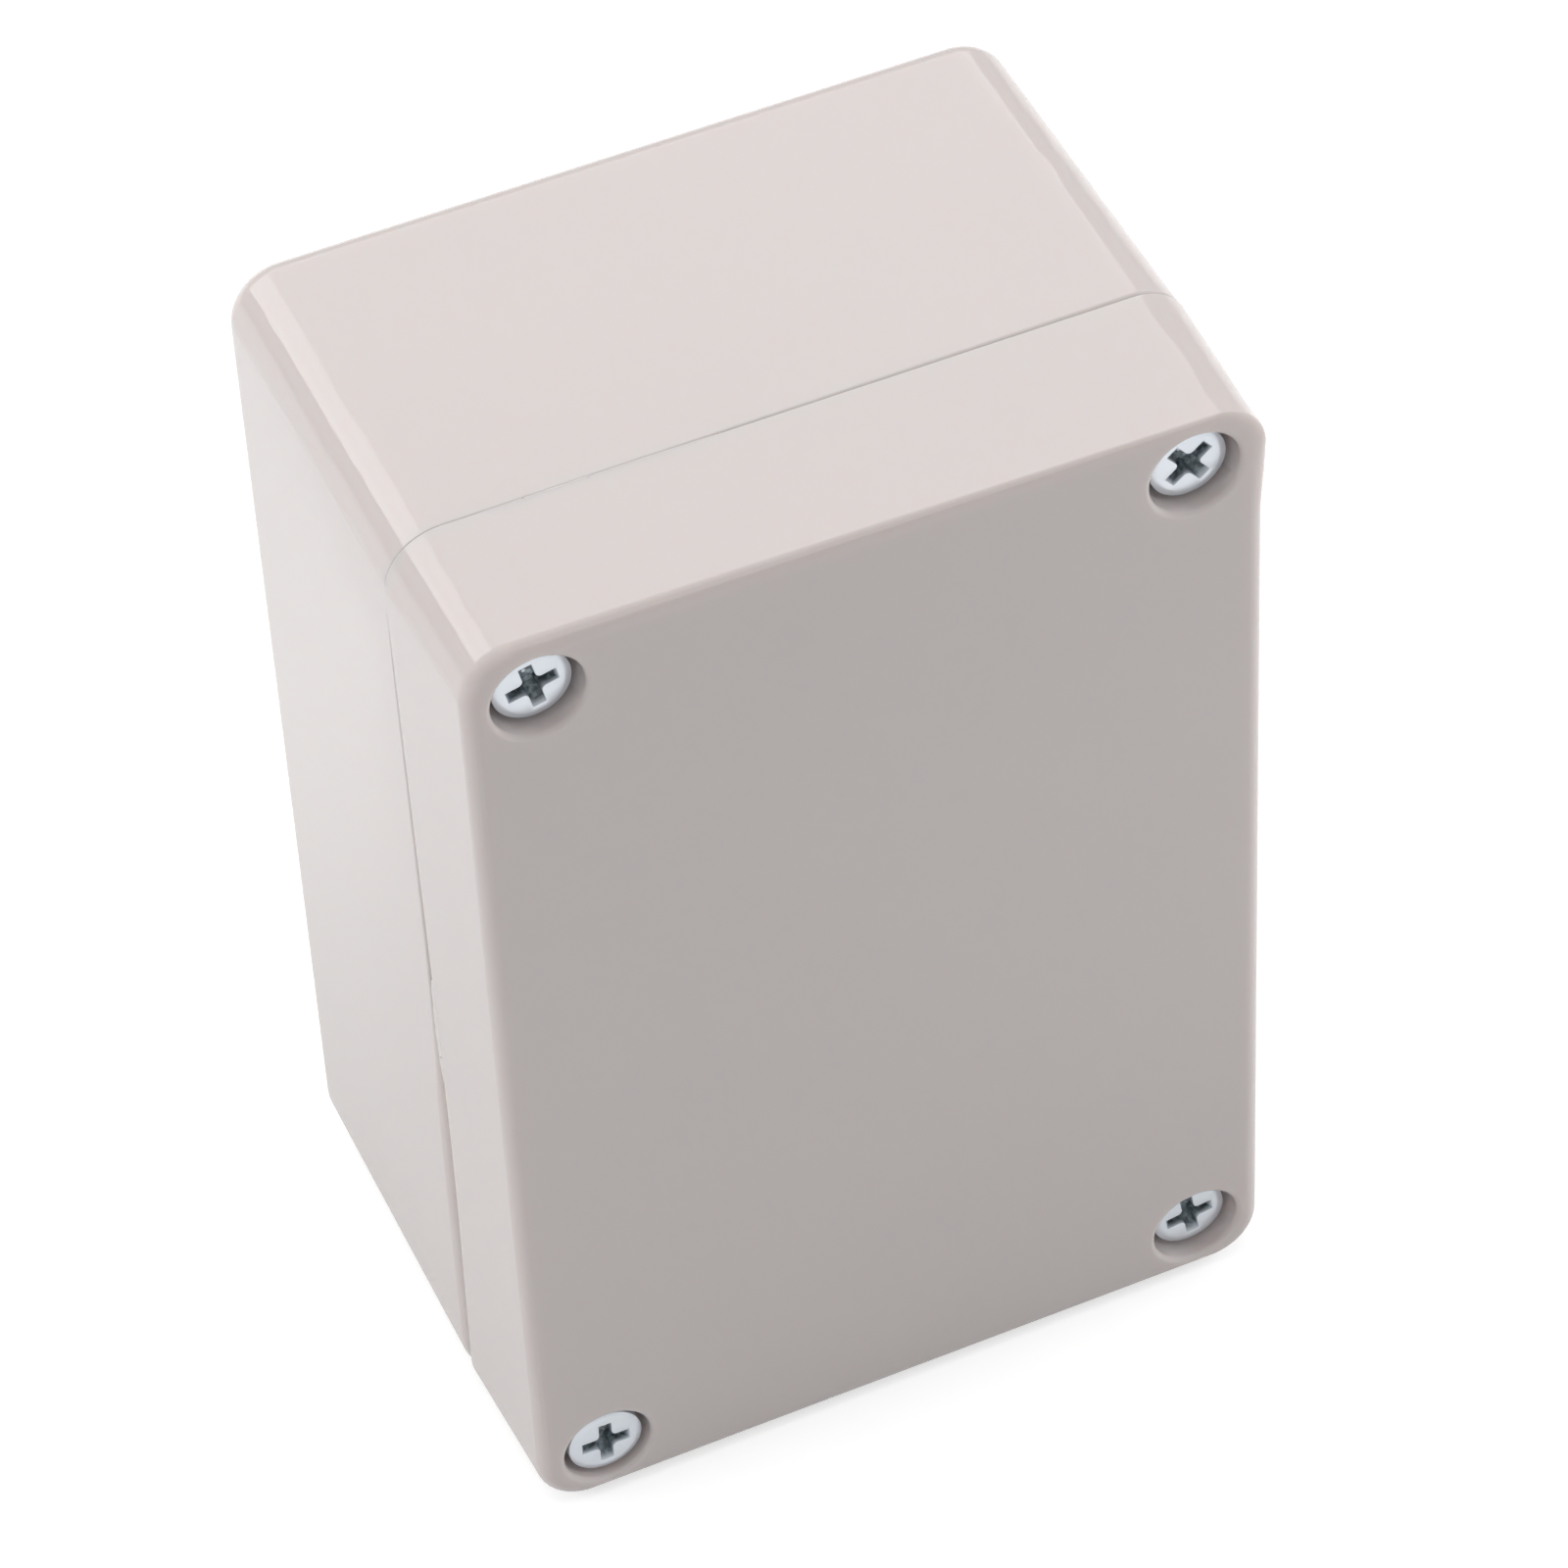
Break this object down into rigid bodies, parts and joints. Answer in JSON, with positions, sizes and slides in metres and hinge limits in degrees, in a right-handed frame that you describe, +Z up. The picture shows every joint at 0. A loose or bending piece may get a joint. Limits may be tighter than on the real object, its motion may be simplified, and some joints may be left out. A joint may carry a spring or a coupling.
{
  "type": "plastic junction box",
  "caption": "Deep rectangular plastic junction box with rounded corners, a screwed lid on a rubber seal, sunk cross-recess screws and corner columns.",
  "frame": {"origin": "middle of the lower side, on the ground", "axes": "+Z up along the height, +Y from the lid to the back, +X to the right as seen facing the lid"},
  "size_m": [0.068, 0.05, 0.1],
  "materials": {
    "shell": "smooth moulded, satin to glossy, warm light grey",
    "seal": "matt black",
    "zinc": "zinc plated, bluish white",
    "brass": "turned"
  },
  "bodies": {
    "base": {"base_box": "shell", "brass_insert_top_left": "brass", "brass_insert_top_right": "brass", "brass_insert_bottom_left": "brass", "brass_insert_bottom_right": "brass"},
    "lid": {"lid_cover": "shell", "lid_seal": "seal"},
    "screw_top_left": {"lid_screw_top_left": "zinc"},
    "screw_top_right": {"lid_screw_top_right": "zinc"},
    "screw_bottom_left": {"lid_screw_bottom_left": "zinc"},
    "screw_bottom_right": {"lid_screw_bottom_right": "zinc"}
  },
  "joints": [
    {"name": "lid_lift", "type": "slide", "parent": "base", "child": "lid", "axis": [0, -1, 0], "range_m": [0, 0.06]},
    {"name": "screw_top_left_out", "type": "slide", "parent": "lid", "child": "screw_top_left", "axis": [0, -1, 0], "range_m": [0, 0.009]},
    {"name": "screw_top_right_out", "type": "slide", "parent": "lid", "child": "screw_top_right", "axis": [0, -1, 0], "range_m": [0, 0.009]},
    {"name": "screw_bottom_left_out", "type": "slide", "parent": "lid", "child": "screw_bottom_left", "axis": [0, -1, 0], "range_m": [0, 0.009]},
    {"name": "screw_bottom_right_out", "type": "slide", "parent": "lid", "child": "screw_bottom_right", "axis": [0, -1, 0], "range_m": [0, 0.009]}
  ]
}
